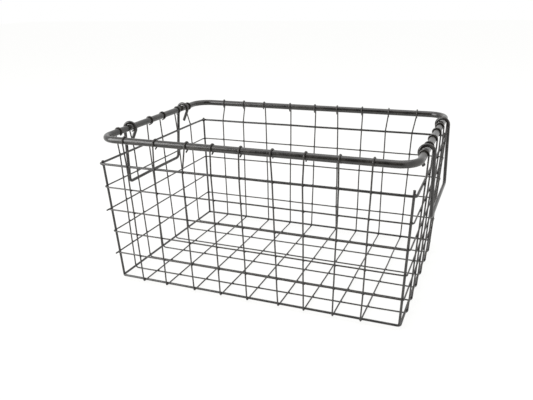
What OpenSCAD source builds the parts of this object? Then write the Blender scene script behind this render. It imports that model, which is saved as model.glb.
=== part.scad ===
// Wire locker basket with two swinging bail handles.
// Welded steel wire: a thick rim rod, a bent and welded mesh body, four corner posts,
// and a loop handle hooked over each short end of the rim.
// Origin: centre of the footprint, on the surface that the basket stands on.

/* [Body] */
// Length of the top ring between wire centres
top_length = 371; // [345:1:400]
// Width of the top ring between wire centres
top_width = 260; // [230:1:290]
// Length of the bottom frame between wire centres
base_length = 354; // [335:1:371]
// Width of the bottom frame between wire centres
base_width = 240; // [210:1:260]
// Distance by which the bottom frame sits left of the top ring's middle
base_shift = 1; // [0:0.5:3]
// Height from one ring to the next
ring_gap = 29.5; // [26:0.5:34]
// Height of the lowest side ring above the bottom frame
base_gap = 33; // [28:0.5:36]
// Centre radius of the bends in the top ring and the bottom frame
corner_r = 3.5; // [3.5:0.5:8]

/* [Wire] */
// Diameter of the mesh wire and of the thin side rings
mesh_d = 1.8; // [1.6:0.1:2]
// Diameter of the top ring, the bottom frame and the corner posts
frame_d = 2.8; // [2.4:0.1:3.2]
// Distance between neighbouring mesh wires
pitch = 35; // [33:1:36]
// Depth to which two welded wires sink into each other
weld_bite = 0.1; // [0.05:0.05:0.15]

/* [Rim] */
// Diameter of the rim rod
rim_d = 8; // [7:0.5:9]
// Length of the rim between rod centres
rim_length = 370.5; // [343:0.5:398]
// Width of the rim between rod centres
rim_width = 248; // [220:1:276]
// Distance by which the rim sits left of the top ring's middle
rim_shift = 1.5; // [0:0.5:4]
// Height of the rim rod above the top ring
rim_rise = 29; // [26:0.5:34]
// Centre radius of the rim's corners
rim_corner_r = 22; // [20:1:34]

/* [Handles] */
// Diameter of the handle wire
handle_d = 4; // [3.2:0.1:4.2]
// Distance from the middle of the rim's end to each eye
eye_y = 67.5; // [66.5:0.5:68.5]
// Distance from the middle of the handle to each of its lower corners
bar_y = 63; // [56:1:66]
// Drop of the handle's bar below the rim rod
handle_drop = 75; // [60:1:80]
// Centre radius of the handle's lower corners
handle_corner_r = 6; // [4:0.5:10]
// Free space between an eye and the rim rod, were the eye centred on it
eye_play = 1.6; // [1.5:0.1:1.8]
// Distance by which the left eyes hang outward of the rim rod's centre
left_eye_out = -0.9; // [-1:0.1:1]
// Distance by which the right eyes hang outward of the rim rod's centre
right_eye_out = 0.9; // [-1:0.1:1]
// Distance by which the eyes hang below the rim rod's centre
eye_down = 0.8; // [0.5:0.1:0.9]
// Distance by which the left handle sits back along the rim
left_shift = 4.5; // [3:0.5:5]
// Distance by which the right handle sits back along the rim
right_shift = 1; // [0:0.5:3]
// Angle at which the left handle hangs out from the upright
left_lean = 3; // [2:0.5:10]
// Angle at which the right handle hangs out from the upright
right_lean = 1; // [1:0.5:10]

/* [Hidden] */
cross_count = 9;
long_count = 6;

// Colours of the black finish, from the rim to the thinnest wire
RIM_COLOUR = "#3a3a39";
FRAME_COLOUR = "#343433";
MESH_COLOUR = "#3e3e3c";
HANDLE_COLOUR = "#302f2e";

// Hand-bent drift of each mesh wire along the wall, in millimetres from the even pitch
CROSS_SHIFT = -3.5;
CROSS_FLOOR = [-2, -4, 0, 1, 1, 5, 1, 0, -3];
CROSS_FRONT = [-2, 0, 2, 3, 2, 5, 4, 7, 5];
CROSS_BACK = [-8, -8, -5, 0, 3, 2, 2, 1, 3];
CROSS_FRONT_HOOK = [-7, -0.5, 5, 2, 1, 2.5, 4.5, 6, 5.5];
CROSS_BACK_HOOK = [0, -2, -4, 2, 5, 3, 4, 6, 9];
LONG_FLOOR_LEFT = [-2, -2, -3, -3, 1, -1];
LONG_FLOOR_RIGHT = [3, -2, -3, -3, 1, -1];
LONG_LEFT = [1, -3, -3, -4, 2, 6];
LONG_RIGHT = [0, 0, 0, 0, 0, 0];
LONG_LEFT_HOOK = [2, -4, 2, -1, 4, 0];
LONG_RIGHT_HOOK = [6, 7, 4, 4, -2, 0];

// Turn of each hook round the rim, the length of its cut tail and its slant along the rim: first
// at the front or left end of the wires, then at the back or right end
HOOK_TURN = [[234, 236, 240, 238, 240, 238, 236, 232, 230],
             [211, 225, 206, 216, 220, 214, 222, 208, 218]];
HOOK_TAIL = [[1, 4, 4.5, 4, 4, 1.5, 2, 1, 1],
             [4.5, 5, 3, 4.5, 4, 5, 4, 5, 3.5]];
HOOK_SLANT = [[3, 5, 2, 3, 1, 4, 3, 2, 3],
              [8, 3, 5, 6, 3, 6, 2, 7, 4]];

// Turn of each eye, then the tails and the slants of the near and the far eye of each handle
EYE_TURN = 202;
LEFT_TAIL = [11, 15];
RIGHT_TAIL = [12.5, 12.5];
LEFT_SLANT = [-9, -3];
RIGHT_SLANT = [12, 12];

// Radii and levels of the wires
mesh_r = mesh_d / 2;
frame_r = frame_d / 2;
rim_r = rim_d / 2;
handle_r = handle_d / 2;
long_z = mesh_r;
cross_z = long_z + mesh_d - weld_bite;
frame_z = cross_z + mesh_r + frame_r - weld_bite;
top_z = frame_z + base_gap + 4 * ring_gap;
rim_z = top_z + rim_rise;
thick_step = frame_r + mesh_r - weld_bite;
thin_step = mesh_d - weld_bite;
hook_bite = 0.03;
hook_r = rim_r + mesh_r - hook_bite;
eye_r = rim_r + handle_r + eye_play;
cross_bend_r = 2;
long_bend_r = 4.5;
joint_swell = 0.1;
joint_gap = 0.05;
joint_spin = 40;
foot_inset = corner_r * (1 - 1 / sqrt(2));
head_inset = corner_r - (corner_r - frame_d + weld_bite) / sqrt(2);
post_rise = [2, 4, 2, 3];
stub = 4;

// Half length and half width of the body at a height, on the line of the thick rings
function level(z) = (z - frame_z) / (top_z - frame_z);
function half_length(z) = (base_length + (top_length - base_length) * level(z)) / 2;
function half_width(z) = (base_width + (top_width - base_width) * level(z)) / 2;

// Middle of the body's length at a height
function middle(z) = -base_shift * (1 - level(z));
side_grow = thick_step - thin_step;

// Inset of the posts from the sides of the body, and the ring's bend that clasps them
function post_inset(z) = foot_inset + (head_inset - foot_inset) * level(z);
function side_corner_r(z) = (post_inset(z) + side_grow - thick_step / sqrt(2))
                            / (1 - 1 / sqrt(2));

function hundredth(size) = round(size * 100) / 100;
function unit(v) = v / norm(v);
function turn_at(p, i) = 180 - acos(unit(p[i - 1] - p[i]) * unit(p[i + 1] - p[i]));
function setback(p, r, i) = r[i] * tan(turn_at(p, i) / 2);

$fn = 24;

// Puts its children at point p with their upward axis along v
module aim(p, v) {
    translate(p) rotate([0, acos(v.z / norm(v)), atan2(v.y, v.x)]) children();
}

// Straight piece of round wire from a to b
module rod(a, b, d) {
    aim(a, b - a) cylinder(d = d, h = norm(b - a));
}

// Ball that joins two pieces of wire where they run along v, spun so that no seams coincide
module joint(p, v, d) {
    aim(p, v) rotate([0, 0, joint_spin]) sphere(d = d + joint_swell);
}

// Arc of round wire: starts at centre + r * from, turns towards the direction "to"
module arc(centre, from, to, r, turn, d) {
    side = cross(from, to);
    multmatrix([[from.x, to.x, side.x, centre.x],
                [from.y, to.y, side.y, centre.y],
                [from.z, to.z, side.z, centre.z],
                [0, 0, 0, 1]])
        rotate([0, 0, asin(joint_gap / r)])
            rotate_extrude(angle = turn - 2 * asin(joint_gap / r)) translate([r, 0]) circle(d = d);
}

// Bend of radius r at point i of the route p
module bend(p, r, i, d) {
    u = unit(p[i - 1] - p[i]);
    v = unit(p[i + 1] - p[i]);
    turn = turn_at(p, i);
    centre = p[i] + unit(u + v) * r[i] / cos(turn / 2);
    from = unit(p[i] + u * setback(p, r, i) - centre);
    arc(centre, from, -u, r[i], turn, d);
    joint(p[i] + u * setback(p, r, i), -u, d);
    joint(p[i] + v * setback(p, r, i), v, d);
}

// Open wire along the route p, with a bend of radius r[i] at each inner point, or a kink where
// r[i] is 0. A ball a hair thicker than the wire joins each two pieces, which end inside it
module wire(p, r, d) {
    last = len(p) - 1;
    for (i = [0 : last - 1]) {
        u = unit(p[i + 1] - p[i]);
        start = i == 0 ? 0 : setback(p, r, i);
        end = i == last - 1 ? 0 : setback(p, r, i + 1);
        rod(p[i] + u * (start + joint_gap), p[i + 1] - u * (end + joint_gap), d);
    }
    for (i = [1 : last - 1])
        if (r[i] > 0) bend(p, r, i, d);
        else joint(p[i], unit(p[i + 1] - p[i]) - unit(p[i - 1] - p[i]), d);
}

// Closed rounded rectangle of wire round the point [mid, 0, z]
module ring(mid, half_l, half_w, r, z, d) {
    l = half_l - r;
    w = half_w - r;
    for (s = [-1, 1]) {
        rod([mid - l, s * half_w, z], [mid + l, s * half_w, z], d);
        rod([mid + s * half_l, -w, z], [mid + s * half_l, w, z], d);
    }
    for (i = [0 : 3])
        translate([mid + (i == 0 || i == 3 ? 1 : -1) * l, (i < 2 ? 1 : -1) * w, z])
            rotate([0, 0, 90 * i]) rotate_extrude(angle = 90) translate([r, 0]) circle(d = d);
}

// Side ring whose left wire runs on past the front left corner as a cut stub
module open_ring(mid, half_l, half_w, r, z, d) {
    left = mid - half_l;
    right = mid + half_l;
    wire([[left, -half_w, z], [right, -half_w, z], [right, half_w, z],
          [left, half_w, z], [left, -half_w - stub, z]],
         [0, r, r, r, 0], d);
}

// Hook over the rim: up the outer side, over the top, down the inner side to a cut tail.
// foot is where it leaves the outer side, out the outward direction, along the rim's line
module hook(foot, out, along, slant, r, turn, tail, d) {
    from = out * cos(slant) - along * sin(slant);
    centre = foot - from * r;
    up = [0, 0, 1];
    tip = centre + r * (cos(turn) * from + sin(turn) * up);
    heading = cos(turn) * up - sin(turn) * from;
    arc(centre, from, up, r, turn, d);
    joint(foot, up, d);
    joint(tip, heading, d);
    rod(tip + heading * joint_gap, tip + heading * tail, d);
}

// Mesh wire: hook, wall, floor, wall, hook. "out" is the outward direction at its far end, the
// mids and halves are the middle and half length of its route at the floor, top ring and rim
module mesh_wire(out, along, floors, walls, rims, floor_z, mids, halves, bend_r, k) {
    up = [0, 0, 1];
    slant = [for (s = [0, 1]) HOOK_SLANT[s][k]];
    feet = [for (s = [0, 1])
        out * (mids[2] + (2 * s - 1) * (halves[2] + hook_r * cos(slant[s])))
        + along * (rims[s] - hook_r * sin(slant[s])) + up * rim_z];
    knee = [for (s = [0, 1])
        out * (mids[1] + (2 * s - 1) * (halves[1] + thick_step)) + along * walls[s] + up * top_z];
    toe = [for (s = [0, 1])
        out * (mids[0] + (2 * s - 1) * (halves[0] + thick_step)) + along * floors[s]
        + up * floor_z];
    wire([feet[0], knee[0], toe[0], toe[1], knee[1], feet[1]],
         [0, 0, bend_r, bend_r, 0, 0], mesh_d);
    for (s = [0, 1])
        hook(feet[s], out * (2 * s - 1), along, slant[s], hook_r, HOOK_TURN[s][k],
             HOOK_TAIL[s][k], mesh_d);
}

module rim() {
    color(RIM_COLOUR)
        ring(-rim_shift, rim_length / 2, rim_width / 2, rim_corner_r, rim_z, rim_d);
}

module top_ring() {
    color(FRAME_COLOUR)
        ring(0, half_length(top_z), half_width(top_z), corner_r, top_z, frame_d);
}

module bottom_frame() {
    color(FRAME_COLOUR)
        ring(middle(frame_z), half_length(frame_z), half_width(frame_z), corner_r, frame_z,
             frame_d);
}

// Thin side ring, counted from the top; the second and fourth end in a stub
module side_ring(i) {
    z = top_z - i * ring_gap;
    mid = hundredth(middle(z));
    half_l = hundredth(half_length(z) + side_grow);
    half_w = hundredth(half_width(z) + side_grow);
    r = hundredth(side_corner_r(z));
    color(MESH_COLOUR)
        if (i % 2 == 0) open_ring(mid, half_l, half_w, r, z, mesh_d);
        else ring(mid, half_l, half_w, r, z, mesh_d);
}

// Corner post: stands on the bend of the bottom frame and passes inside the bends of the rings.
// sx and sy pick the corner
module post(sx, sy, rise) {
    ends = [for (z = [frame_z + frame_r - weld_bite, top_z + frame_r + rise])
        [middle(z) + sx * (half_length(z) - post_inset(z)), sy * (half_width(z) - post_inset(z)),
         z]];
    color(FRAME_COLOUR) rod(ends[0], ends[1], frame_d);
}

// Wire that runs from the front hook over the floor to the back hook
module cross_wire(n) {
    x = CROSS_SHIFT + (n - (cross_count + 1) / 2) * pitch;
    k = n - 1;
    color(MESH_COLOUR)
        mesh_wire([0, 1, 0], [1, 0, 0], [x + CROSS_FLOOR[k], x + CROSS_FLOOR[k]],
                  [x + CROSS_FRONT[k], x + CROSS_BACK[k]],
                  [x + CROSS_FRONT_HOOK[k], x + CROSS_BACK_HOOK[k]],
                  cross_z, [0, 0, 0], [half_width(cross_z), top_width / 2, rim_width / 2],
                  cross_bend_r, k);
}

// Wire that runs from the left hook over the floor to the right hook
module long_wire(n) {
    y = (n - (long_count + 1) / 2) * pitch;
    k = n - 1;
    color(MESH_COLOUR)
        mesh_wire([1, 0, 0], [0, 1, 0], [y + LONG_FLOOR_LEFT[k], y + LONG_FLOOR_RIGHT[k]],
                  [y + LONG_LEFT[k], y + LONG_RIGHT[k]],
                  [y + LONG_LEFT_HOOK[k], y + LONG_RIGHT_HOOK[k]],
                  long_z, [middle(long_z), 0, -rim_shift],
                  [half_length(long_z), top_length / 2, rim_length / 2], long_bend_r, k);
}

// Bail handle for the end of the rim on side s, hung outside the wall at an angle
module handle(s, lean, shift, eye_out, slants, tails) {
    out = [s, 0, 0];
    color(HANDLE_COLOUR)
        translate([s * rim_length / 2 - rim_shift, shift, rim_z]) rotate([0, -s * lean, 0]) {
            x = [for (e = [0, 1]) s * (eye_out + eye_r * cos(slants[e]))];
            eyes = [for (e = [0, 1]) [x[e], (2 * e - 1) * eye_y, -eye_down]];
            low = [for (e = [0, 1]) [x[e], (2 * e - 1) * bar_y, -handle_drop]];
            wire([eyes[0], low[0], low[1], eyes[1]],
                 [0, handle_corner_r, handle_corner_r, 0], handle_d);
            for (e = [0, 1])
                hook(eyes[e], out, [0, 2 * e - 1, 0], slants[e], eye_r,
                     EYE_TURN, tails[e], handle_d);
        }
}

module left_handle() {
    handle(-1, left_lean, left_shift, left_eye_out, LEFT_SLANT, LEFT_TAIL);
}

module right_handle() {
    handle(1, right_lean, right_shift, right_eye_out, RIGHT_SLANT, RIGHT_TAIL);
}

rim();
top_ring();
side_ring(1);  // side_ring_1
side_ring(2);  // side_ring_2
side_ring(3);  // side_ring_3
side_ring(4);  // side_ring_4
bottom_frame();
post(-1, -1, post_rise[0]);  // post_front_left
post(1, -1, post_rise[1]);  // post_front_right
post(-1, 1, post_rise[2]);  // post_back_left
post(1, 1, post_rise[3]);  // post_back_right
cross_wire(1);  // cross_wire_1
cross_wire(2);  // cross_wire_2
cross_wire(3);  // cross_wire_3
cross_wire(4);  // cross_wire_4
cross_wire(5);  // cross_wire_5
cross_wire(6);  // cross_wire_6
cross_wire(7);  // cross_wire_7
cross_wire(8);  // cross_wire_8
cross_wire(9);  // cross_wire_9
long_wire(1);  // long_wire_1
long_wire(2);  // long_wire_2
long_wire(3);  // long_wire_3
long_wire(4);  // long_wire_4
long_wire(5);  // long_wire_5
long_wire(6);  // long_wire_6
left_handle();
right_handle();
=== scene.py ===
"""Looks of the wire locker basket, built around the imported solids.

Each rod and wire of the basket is swept here as one smooth tube along the line that its solid follows,
with rounded knees, cut ends, the small waves of hand-bent wire and a weld nugget at each crossing.
Lengths in the basket's classes are millimetres, the studio's are metres, and so are the meshes.
"""

import logging
import math
from dataclasses import dataclass, field
from enum import Enum
from itertools import product

import bpy
import numpy as np
from mathutils import Matrix, Vector

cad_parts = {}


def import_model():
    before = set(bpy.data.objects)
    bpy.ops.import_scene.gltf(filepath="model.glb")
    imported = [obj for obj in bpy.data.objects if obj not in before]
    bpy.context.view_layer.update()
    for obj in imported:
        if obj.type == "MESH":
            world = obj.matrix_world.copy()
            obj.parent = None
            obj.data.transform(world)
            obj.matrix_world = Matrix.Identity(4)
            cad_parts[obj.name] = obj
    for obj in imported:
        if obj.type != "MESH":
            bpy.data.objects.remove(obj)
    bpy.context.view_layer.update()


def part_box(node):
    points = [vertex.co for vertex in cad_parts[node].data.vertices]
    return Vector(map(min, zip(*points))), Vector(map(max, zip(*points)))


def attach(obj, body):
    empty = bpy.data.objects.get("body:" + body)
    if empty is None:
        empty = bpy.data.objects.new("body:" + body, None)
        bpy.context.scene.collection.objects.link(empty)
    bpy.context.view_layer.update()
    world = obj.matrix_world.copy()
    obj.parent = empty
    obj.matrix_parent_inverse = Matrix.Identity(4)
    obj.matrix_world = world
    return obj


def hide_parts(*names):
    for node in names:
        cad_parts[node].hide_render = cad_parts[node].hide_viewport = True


Pair = tuple[float, float]
Triple = tuple[float, float, float]

MM = 0.001
BASKET = "basket"
LEFT_BAIL = "left_bail"
RIGHT_BAIL = "right_bail"
LENGTHWAYS = np.array([1.0, 0.0, 0.0])
WIDTHWAYS = np.array([0.0, 1.0, 0.0])
UP = np.array([0.0, 0.0, 1.0])
ARC_STEP = math.radians(7)
LEAST_ARC_STEPS = 3
LEAST_TURN = 1e-3
SHARP_EDGE = math.radians(50)
# Length in millimetres and share of each wave that hand-straightened wire keeps.
WAVES = ((173.0, 0.5), (97.0, 0.3), (61.0, 0.2))
log = logging.getLogger("basket")


class Slot(Enum):
    """Material slots of the basket's parts."""

    RIM = "rim_rod"
    FRAME = "frame_wire"
    MESH = "mesh_wire"
    HANDLE = "handle_wire"


def unit(v: np.ndarray) -> np.ndarray:
    """Vectors of length 1 along the last axis of v."""
    return v / np.linalg.norm(v, axis=-1, keepdims=True)


def linear(hex_colour: str) -> tuple[float, float, float, float]:
    """Turns an sRGB hex colour into linear RGBA, by the curve of the sRGB standard.

    Args:
        hex_colour: six hex digits after a hash sign.
    Returns:
        The linear red, green, blue and alpha.
    """
    parts = [int(hex_colour[i : i + 2], 16) / 255 for i in (1, 3, 5)]
    channels = [c / 12.92 if c <= 0.04045 else ((c + 0.055) / 1.055) ** 2.4 for c in parts]
    return (*channels, 1.0)


def clear_tree(owner: bpy.types.Material | bpy.types.World) -> bpy.types.NodeTree:
    """Turns on the nodes of a material or world and empties its tree.

    Args:
        owner: the material or world.
    Returns:
        The empty node tree.
    """
    owner.use_nodes = True
    owner.node_tree.nodes.clear()
    return owner.node_tree


def add_node(tree: bpy.types.NodeTree, kind: str, settings: dict, links: dict) -> bpy.types.Node:
    """Adds a node with its settings and links.

    Args:
        tree: the node tree.
        kind: the node's type name.
        settings: attribute name or input name or number to value.
        links: input name or number to the output socket that feeds it.
    Returns:
        The new node.
    """
    node = tree.nodes.new(kind)
    for key, value in settings.items():
        if isinstance(key, str) and hasattr(node, key):
            setattr(node, key, value)
        else:
            node.inputs[key].default_value = value
    for key, source in links.items():
        tree.links.new(source, node.inputs[key])
    return node


def add_object(name: str, data: bpy.types.ID) -> bpy.types.Object:
    """Puts a mesh, camera or lamp into the scene.

    Args:
        name: the object's name.
        data: its mesh, camera or lamp data.
    Returns:
        The new object.
    """
    added = bpy.data.objects.new(name, data)
    bpy.context.scene.collection.objects.link(added)
    return added


def smooth_mesh(name: str, vertices: np.ndarray, faces: list[list[int]]) -> bpy.types.Mesh:
    """Makes a mesh of smooth faces.

    Args:
        name: the mesh's name.
        vertices: its vertices in millimetres, n by 3.
        faces: the vertex numbers of each face.
    Returns:
        The mesh, in metres.
    """
    mesh = bpy.data.meshes.new(name)
    mesh.from_pydata((vertices * MM).tolist(), [], faces)
    mesh.polygons.foreach_set("use_smooth", np.ones(len(mesh.polygons), bool))
    return mesh


def vertices_of(piece: bpy.types.Object) -> np.ndarray:
    """Reads back the vertices of a piece.

    Args:
        piece: the object.
    Returns:
        The vertices in metres, n by 3.
    """
    flat = np.zeros(len(piece.data.vertices) * 3, np.float32)
    piece.data.vertices.foreach_get("co", flat)
    return flat.reshape(-1, 3)


@dataclass(frozen=True)
class BlackLacquer:
    """Satin black lacquer, dipped over drawn steel wire and baked.

    The film is smooth enough to mirror the room in soft bands, near black where it faces a dark corner
    and pale at the edges of each wire. It is faintly mottled where it has worn thin, keeps a trace of the
    wire's drawing lines, and lies rougher and browner over the welds.

    Attributes:
        name: the material's name.
        body_hex: colour of the full film.
        worn_hex: colour where it has worn thin.
        weld_hex: colour over the welds.
        roughness: of the full film.
        ior: of the film, raised from lacquer's usual 1.5 until it mirrors as the photograph shows.
        mottle_mm: size of the worn patches.
        mottle_detail: how many finer layers the patches have.
        mottle_rough: how strong each finer layer is.
        worn_from: mottle value at which wear begins.
        worn_to: mottle value at which the film is fully worn.
        worn_rougher: what full wear adds to the roughness.
        weld_rougher: what a weld adds to the roughness.
        line_mm: width of a drawing line, wider than real ones so that it shows.
        line_length_mm: length of a drawing line.
        line_detail: how many finer layers the lines have.
        bump_mm: depth of the drawing lines.
        bump_strength: how much of that depth the film leaves.
    """

    name: str
    body_hex: str = "#191816"
    worn_hex: str = "#33302c"
    weld_hex: str = "#171412"
    roughness: float = 0.22
    ior: float = 1.62
    mottle_mm: float = 7.0
    mottle_detail: float = 5.0
    mottle_rough: float = 0.65
    worn_from: float = 0.42
    worn_to: float = 0.72
    worn_rougher: float = 0.12
    weld_rougher: float = 0.15
    line_mm: float = 0.35
    line_length_mm: float = 40.0
    line_detail: float = 2.0
    bump_mm: float = 0.015
    bump_strength: float = 0.3

    def make(self) -> bpy.types.Material:
        """Builds the node material.

        Returns:
            The material, which reads the wire's own UV map (millimetres along and around the wire) and
            the "weld" attribute, 1 at a weld and 0 away from it.
        """
        material = bpy.data.materials.new(self.name)
        tree = clear_tree(material)
        place = add_node(tree, "ShaderNodeTexCoord", {}, {})
        mottle = add_node(
            tree,
            "ShaderNodeTexNoise",
            {
                "Scale": 1 / (self.mottle_mm * MM),
                "Detail": self.mottle_detail,
                "Roughness": self.mottle_rough,
            },
            {"Vector": place.outputs["Object"]},
        )
        wear = add_node(
            tree,
            "ShaderNodeMapRange",
            {"From Min": self.worn_from, "From Max": self.worn_to},
            {"Value": mottle.outputs["Fac"]},
        )
        stretch = add_node(
            tree,
            "ShaderNodeMapping",
            {"Scale": (1 / self.line_length_mm, 1 / self.line_mm, 1.0)},
            {"Vector": place.outputs["UV"]},
        )
        lines = add_node(
            tree,
            "ShaderNodeTexNoise",
            {"Scale": 1.0, "Detail": self.line_detail},
            {"Vector": stretch.outputs["Vector"]},
        )
        colour = add_node(
            tree,
            "ShaderNodeMix",
            {"data_type": "RGBA", 6: linear(self.body_hex), 7: linear(self.worn_hex)},
            {0: wear.outputs["Result"]},
        )
        weld = add_node(tree, "ShaderNodeAttribute", {"attribute_name": "weld"}, {})
        coated = add_node(
            tree,
            "ShaderNodeMix",
            {"data_type": "RGBA", 7: linear(self.weld_hex)},
            {0: weld.outputs["Fac"], 6: colour.outputs[2]},
        )
        gloss = add_node(
            tree,
            "ShaderNodeMapRange",
            {"To Min": self.roughness, "To Max": self.roughness + self.worn_rougher},
            {"Value": wear.outputs["Result"]},
        )
        dull = add_node(
            tree,
            "ShaderNodeMath",
            {"operation": "MULTIPLY_ADD", 1: self.weld_rougher},
            {0: weld.outputs["Fac"], 2: gloss.outputs["Result"]},
        )
        bump = add_node(
            tree,
            "ShaderNodeBump",
            {"Strength": self.bump_strength, "Distance": self.bump_mm * MM},
            {"Height": lines.outputs["Fac"]},
        )
        shader = add_node(
            tree,
            "ShaderNodeBsdfPrincipled",
            {"IOR": self.ior},
            {
                "Base Color": coated.outputs[2],
                "Roughness": dull.outputs["Value"],
                "Normal": bump.outputs["Normal"],
            },
        )
        add_node(tree, "ShaderNodeOutputMaterial", {}, {"Surface": shader.outputs["BSDF"]})
        return material


@dataclass(frozen=True)
class LacqueredWeld:
    """Squeezed-out metal of a resistance weld under the same lacquer.

    Spatter and scale leave it grainy, so it looks duller than the wire and faintly brown.

    Attributes:
        name: the material's name.
        body_hex: colour in the hollows of the grain.
        brown_hex: colour on its tops.
        roughness: the same all over.
        grain_mm: size of the grain.
        grain_detail: how many finer layers the grain has.
        bump_mm: height of the grain.
        bump_strength: how much of that height the lacquer leaves.
    """

    name: str = "lacquered weld nugget"
    body_hex: str = "#1c1917"
    brown_hex: str = "#2b241e"
    roughness: float = 0.45
    grain_mm: float = 0.8
    grain_detail: float = 3.0
    bump_mm: float = 0.05
    bump_strength: float = 0.5

    def make(self) -> bpy.types.Material:
        """Builds the node material on Object coordinates.

        Returns:
            The material.
        """
        material = bpy.data.materials.new(self.name)
        tree = clear_tree(material)
        place = add_node(tree, "ShaderNodeTexCoord", {}, {})
        grain = add_node(
            tree,
            "ShaderNodeTexNoise",
            {"Scale": 1 / (self.grain_mm * MM), "Detail": self.grain_detail},
            {"Vector": place.outputs["Object"]},
        )
        colour = add_node(
            tree,
            "ShaderNodeMix",
            {"data_type": "RGBA", 6: linear(self.body_hex), 7: linear(self.brown_hex)},
            {0: grain.outputs["Fac"]},
        )
        bump = add_node(
            tree,
            "ShaderNodeBump",
            {"Strength": self.bump_strength, "Distance": self.bump_mm * MM},
            {"Height": grain.outputs["Fac"]},
        )
        shader = add_node(
            tree,
            "ShaderNodeBsdfPrincipled",
            {"Roughness": self.roughness},
            {"Base Color": colour.outputs[2], "Normal": bump.outputs["Normal"]},
        )
        add_node(tree, "ShaderNodeOutputMaterial", {}, {"Surface": shader.outputs["BSDF"]})
        return material


def straight(a: np.ndarray, b: np.ndarray, step: float) -> np.ndarray:
    """Points on the line from a to b, at most step apart, without b itself."""
    count = max(1, math.ceil(np.linalg.norm(b - a) / step))
    return a + (b - a) * (np.arange(count) / count)[:, None]


def arc(centre: np.ndarray, start: np.ndarray, to: np.ndarray, r: float, turn: float) -> np.ndarray:
    """Points on an arc: centre plus r times (cos t times start plus sin t times to), t from 0 to turn.

    Args:
        centre: the arc's centre.
        start: unit vector from the centre to the arc's start.
        to: unit vector in which the arc sets out.
        r: the radius.
        turn: the angle in radians.
    Returns:
        The points, at most ARC_STEP apart, without the last one.
    """
    count = max(LEAST_ARC_STEPS, math.ceil(turn / ARC_STEP))
    t = (turn * np.arange(count) / count)[:, None]
    return centre + r * (np.cos(t) * start + np.sin(t) * to)


def bent(points: list[np.ndarray], radii: list[float], step: float) -> np.ndarray:
    """Route through the points with a round bend at each inner one.

    Args:
        points: the corners of the route.
        radii: the bend radius at each point, unused at the two ends.
        step: the largest distance between two points of a straight stretch.
    Returns:
        The points of the route, with its last one.
    """
    route = []
    begin = points[0]
    for i in range(1, len(points) - 1):
        u = unit(points[i - 1] - points[i])
        v = unit(points[i + 1] - points[i])
        turn = math.pi - math.acos(float(np.clip(u @ v, -1, 1)))
        if turn < LEAST_TURN:
            continue
        setback = radii[i] * math.tan(turn / 2)
        centre = points[i] + unit(u + v) * radii[i] / math.cos(turn / 2)
        touch = points[i] + u * setback
        route.append(straight(begin, touch, step))
        route.append(arc(centre, unit(touch - centre), -u, radii[i], turn))
        begin = points[i] + v * setback
    route.append(straight(begin, points[-1], step))
    route.append(points[-1][None])
    return np.concatenate(route)


def curl(
    foot: np.ndarray, start: np.ndarray, r: float, turn: float, tail: float, step: float
) -> np.ndarray:
    """Route of a wire's end: upward from the foot, round the rod, and on as a straight cut tail.

    Args:
        foot: where the turn begins.
        start: unit vector from the turn's centre to the foot.
        r: the radius of the turn.
        turn: its angle in radians.
        tail: the length of the tail.
        step: the largest distance between two points of the tail.
    Returns:
        The points, with the tail's end and without the foot.
    """
    centre = foot - start * r
    tip = centre + r * (math.cos(turn) * start + math.sin(turn) * UP)
    end = tip + (math.cos(turn) * UP - math.sin(turn) * start) * tail
    return np.concatenate([arc(centre, start, UP, r, turn)[1:], straight(tip, end, step), end[None]])


def run_length(path: np.ndarray) -> np.ndarray:
    """Distance along the path at each of its points."""
    return np.concatenate([[0.0], np.cumsum(np.linalg.norm(np.diff(path, axis=0), axis=1))])


def ripple(length: np.ndarray, size: float, seed: int) -> np.ndarray:
    """Gentle waves of hand-straightened wire.

    They are size times the sum over WAVES of share times sin(2 pi length / wave + phase).

    Args:
        length: distances along the wire in millimetres.
        size: the greatest height of the waves in millimetres.
        seed: number that the phases are drawn from.
    Returns:
        The height of the waves at each distance.
    """
    phases = np.random.default_rng(seed).uniform(0, 2 * math.pi, len(WAVES))
    turns = [2 * math.pi * length / wave + phase for (wave, _), phase in zip(WAVES, phases)]
    return size * sum(share * np.sin(turn) for (_, share), turn in zip(WAVES, turns))


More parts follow.
